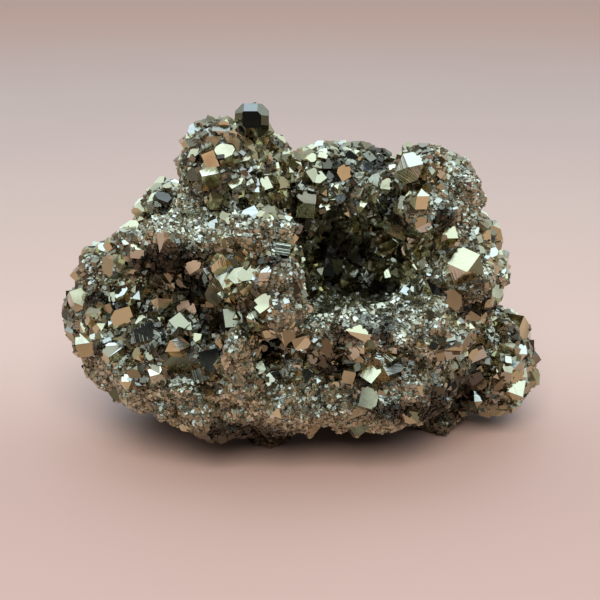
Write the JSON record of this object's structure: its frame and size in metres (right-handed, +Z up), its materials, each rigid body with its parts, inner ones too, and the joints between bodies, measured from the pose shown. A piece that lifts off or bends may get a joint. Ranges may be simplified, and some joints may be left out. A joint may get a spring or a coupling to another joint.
{
  "type": "pyrite specimen",
  "caption": "Rough cluster of intergrown metallic pyrite crystals with a deep front hollow, a bright ledge and a tall side spur, standing on low feet.",
  "frame": {"origin": "middle of the bounding box at the floor", "axes": "+X to the right seen from the front, along the longest side; +Y to the back; +Z up"},
  "size_m": [0.083, 0.051, 0.0574],
  "materials": {
    "pyrite": "natural metallic crystal faces, pale brass to steel grey, some finely striped, with dark crevices"
  },
  "bodies": {
    "root": {"pyrite_cluster": "pyrite"}
  },
  "joints": []
}
